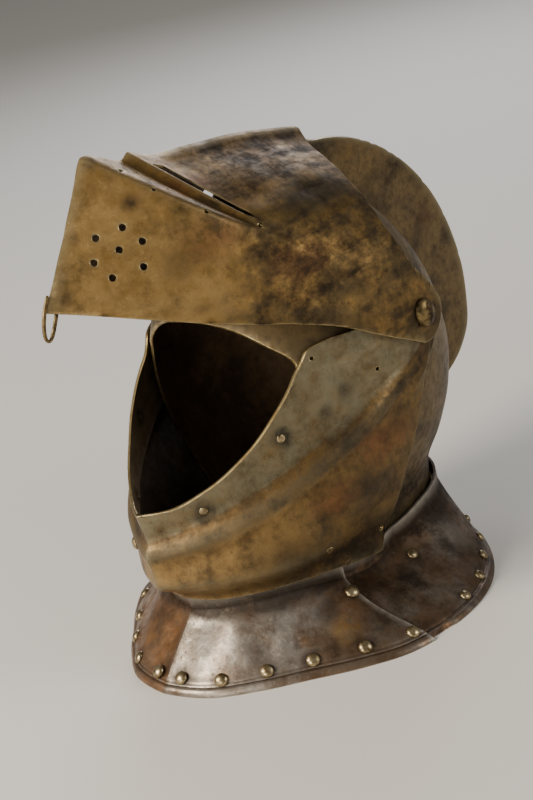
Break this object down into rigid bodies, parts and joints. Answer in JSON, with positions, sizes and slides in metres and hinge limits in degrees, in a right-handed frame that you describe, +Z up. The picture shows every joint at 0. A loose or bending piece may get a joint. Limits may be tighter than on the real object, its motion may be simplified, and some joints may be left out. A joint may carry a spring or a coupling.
{
  "type": "close helmet with raised visor and gorget plates",
  "caption": "Cavalry close helmet: combed skull, visor and bevor on one pivot, flared front and rear gorget plates with rivets.",
  "frame": {"origin": "centre of the bounding box's floor face, under the helmet", "axes": "-Y to the wearer's front, +X to the wearer's left, +Z up"},
  "size_m": [0.2354, 0.3346, 0.3073],
  "materials": {
    "skull_steel": "old browned steel, grey brown, worn along the comb",
    "visor_bronzed_steel": "browned steel, golden to dark brown patina",
    "bevor_steel": "browned steel, greenish grey band over golden brown",
    "gorget_steel": "grey steel with copper brown stains",
    "rivet_brass": "worn rivet heads",
    "pivot_steel": "worn pivots and loop"
  },
  "bodies": {
    "skull": {"skull": "skull_steel", "gorget_rear": "gorget_steel", "pivot_left": "pivot_steel", "pivot_right": "pivot_steel", "rear_rivet_left_1": "rivet_brass", "rear_rivet_left_2": "rivet_brass", "rear_rivet_left_3": "rivet_brass", "rear_rivet_left_4": "rivet_brass", "rear_rivet_left_5": "rivet_brass", "rear_rivet_left_6": "rivet_brass", "rear_rivet_left_7": "rivet_brass", "rear_rivet_right_1": "rivet_brass", "rear_rivet_right_2": "rivet_brass", "rear_rivet_right_3": "rivet_brass", "rear_rivet_right_4": "rivet_brass", "rear_rivet_right_5": "rivet_brass", "rear_rivet_right_6": "rivet_brass", "rear_rivet_right_7": "rivet_brass"},
    "bevor": {"bevor": "bevor_steel", "gorget_front": "gorget_steel", "bevor_stud": "rivet_brass", "bevor_rivet_left_1": "rivet_brass", "bevor_rivet_left_2": "rivet_brass", "bevor_rivet_left_3": "rivet_brass", "bevor_rivet_right_1": "rivet_brass", "bevor_rivet_right_2": "rivet_brass", "bevor_rivet_right_3": "rivet_brass", "front_rivet_left_1": "rivet_brass", "front_rivet_left_2": "rivet_brass", "front_rivet_left_3": "rivet_brass", "front_rivet_left_4": "rivet_brass", "front_rivet_left_5": "rivet_brass", "front_rivet_left_6": "rivet_brass", "front_rivet_left_7": "rivet_brass", "front_rivet_right_1": "rivet_brass", "front_rivet_right_2": "rivet_brass", "front_rivet_right_3": "rivet_brass", "front_rivet_right_4": "rivet_brass", "front_rivet_right_5": "rivet_brass", "front_rivet_right_6": "rivet_brass", "front_rivet_right_7": "rivet_brass"},
    "visor": {"visor": "visor_bronzed_steel", "lifting_loop": "pivot_steel"}
  },
  "joints": [
    {"name": "bevor_hinge", "type": "hinge", "parent": "skull", "child": "bevor", "pos_m": [0, 0.02186, 0.1701], "axis": [-1, 0, 0], "range_deg": [0, 14]},
    {"name": "visor_hinge", "type": "hinge", "parent": "bevor", "child": "visor", "pos_m": [0, 0.02186, 0.1701], "axis": [-1, 0, 0], "range_deg": [-45, 0]}
  ]
}
